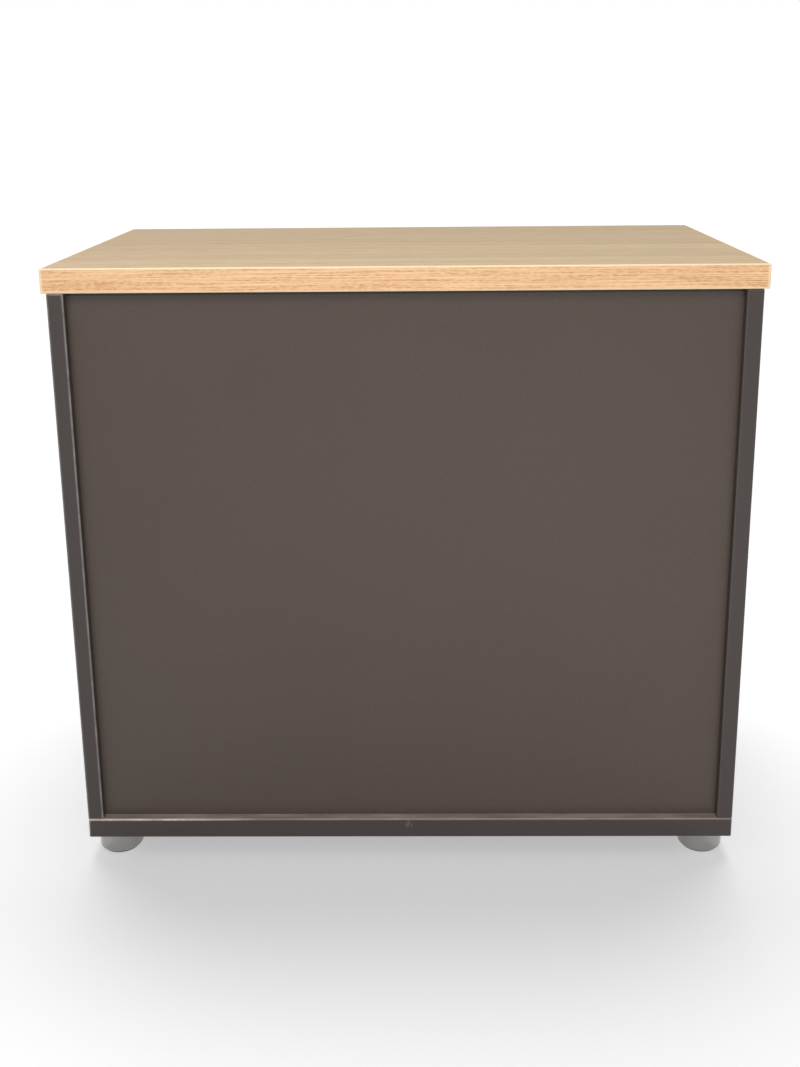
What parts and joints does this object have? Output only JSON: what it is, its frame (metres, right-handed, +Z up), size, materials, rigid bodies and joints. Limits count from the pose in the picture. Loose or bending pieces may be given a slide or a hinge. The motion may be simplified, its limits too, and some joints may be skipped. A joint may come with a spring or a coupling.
{
  "type": "office sideboard",
  "caption": "Desk-height office sideboard: oak-decor top on a graphite carcass with hinged doors, bow handles, adjustable shelf and round levelling feet.",
  "frame": {"origin": "on the floor, in the middle of the outline from the back edges to the fronts of the handles", "axes": "+X to the right as seen from the doors, +Y from the doors to the back, +Z up"},
  "size_m": [0.812, 0.48, 0.74],
  "materials": {
    "oak_top": "matt oak-decor laminate",
    "oak_edge": "oak-decor edge band",
    "graphite_board": "satin graphite melamine",
    "silver_foot": "silver lacquered plastic",
    "dark_plastic": "dark moulded plastic",
    "zinc_steel": "zinc-plated steel",
    "zinc_casting": "nickel-plated casting",
    "satin_nickel": "satin nickel",
    "beech": "plain beech",
    "clear_rubber": "pale soft plastic"
  },
  "bodies": {
    "carcass": {"top_panel": "oak_top", "top_band_back": "oak_edge", "top_band_front": "oak_edge", "top_band_left": "oak_edge", "top_band_right": "oak_edge", "side_panel_left": "graphite_board", "side_panel_right": "graphite_board", "bottom_panel": "graphite_board", "back_panel": "graphite_board", "shelf": "graphite_board", "shelf_pins": "zinc_steel", "cam_housings": "zinc_casting", "cam_bolts": "zinc_steel", "dowels": "beech", "door_buffers": "clear_rubber", "hinge_arm_left_upper": "zinc_casting", "hinge_arm_left_lower": "zinc_casting", "hinge_arm_right_upper": "zinc_casting", "hinge_arm_right_lower": "zinc_casting", "hinge_pins": "zinc_steel", "hinge_plates": "zinc_casting", "hinge_screws": "zinc_steel", "bolt_bush": "zinc_steel", "foot_inserts": "zinc_steel", "foot_caps": "dark_plastic"},
    "door_left": {"door_left": "graphite_board", "handle_left": "satin_nickel", "handle_screws_left": "zinc_steel", "hinge_cup_left_upper": "zinc_casting", "hinge_cup_left_lower": "zinc_casting", "bolt_guide": "zinc_casting"},
    "door_right": {"door_right": "graphite_board", "handle_right": "satin_nickel", "handle_screws_right": "zinc_steel", "hinge_cup_right_upper": "zinc_casting", "hinge_cup_right_lower": "zinc_casting", "lock_housing": "satin_nickel"},
    "lock_plug": {"lock_plug": "satin_nickel", "lock_cam": "zinc_steel"},
    "bolt_rod": {"bolt_rod": "zinc_steel"},
    "foot_front_left": {"foot_front_left": "silver_foot", "foot_glide_front_left": "dark_plastic", "foot_spindle_front_left": "zinc_steel"},
    "foot_front_right": {"foot_front_right": "silver_foot", "foot_glide_front_right": "dark_plastic", "foot_spindle_front_right": "zinc_steel"},
    "foot_back_left": {"foot_back_left": "silver_foot", "foot_glide_back_left": "dark_plastic", "foot_spindle_back_left": "zinc_steel"},
    "foot_back_right": {"foot_back_right": "silver_foot", "foot_glide_back_right": "dark_plastic", "foot_spindle_back_right": "zinc_steel"}
  },
  "joints": [
    {"name": "door_left_swing", "type": "hinge", "parent": "carcass", "child": "door_left", "pos_m": [-0.3935, -0.195, 0.37], "axis": [0, 0, -1], "range_deg": [0, 110]},
    {"name": "door_right_swing", "type": "hinge", "parent": "carcass", "child": "door_right", "pos_m": [0.3935, -0.195, 0.37], "axis": [0, 0, 1], "range_deg": [0, 110]},
    {"name": "lock_turn", "type": "hinge", "parent": "door_right", "child": "lock_plug", "pos_m": [0.0265, -0.208, 0.604], "axis": [0, -1, 0], "range_deg": [0, 90]},
    {"name": "bolt_slide", "type": "slide", "parent": "door_left", "child": "bolt_rod", "axis": [0, 0, 1], "range_m": [0, 0.012]},
    {"name": "foot_front_left_level", "type": "slide", "parent": "carcass", "child": "foot_front_left", "axis": [0, 0, -1], "range_m": [0, 0.01]},
    {"name": "foot_front_right_level", "type": "slide", "parent": "carcass", "child": "foot_front_right", "axis": [0, 0, -1], "range_m": [0, 0.01]},
    {"name": "foot_back_left_level", "type": "slide", "parent": "carcass", "child": "foot_back_left", "axis": [0, 0, -1], "range_m": [0, 0.01]},
    {"name": "foot_back_right_level", "type": "slide", "parent": "carcass", "child": "foot_back_right", "axis": [0, 0, -1], "range_m": [0, 0.01]}
  ]
}
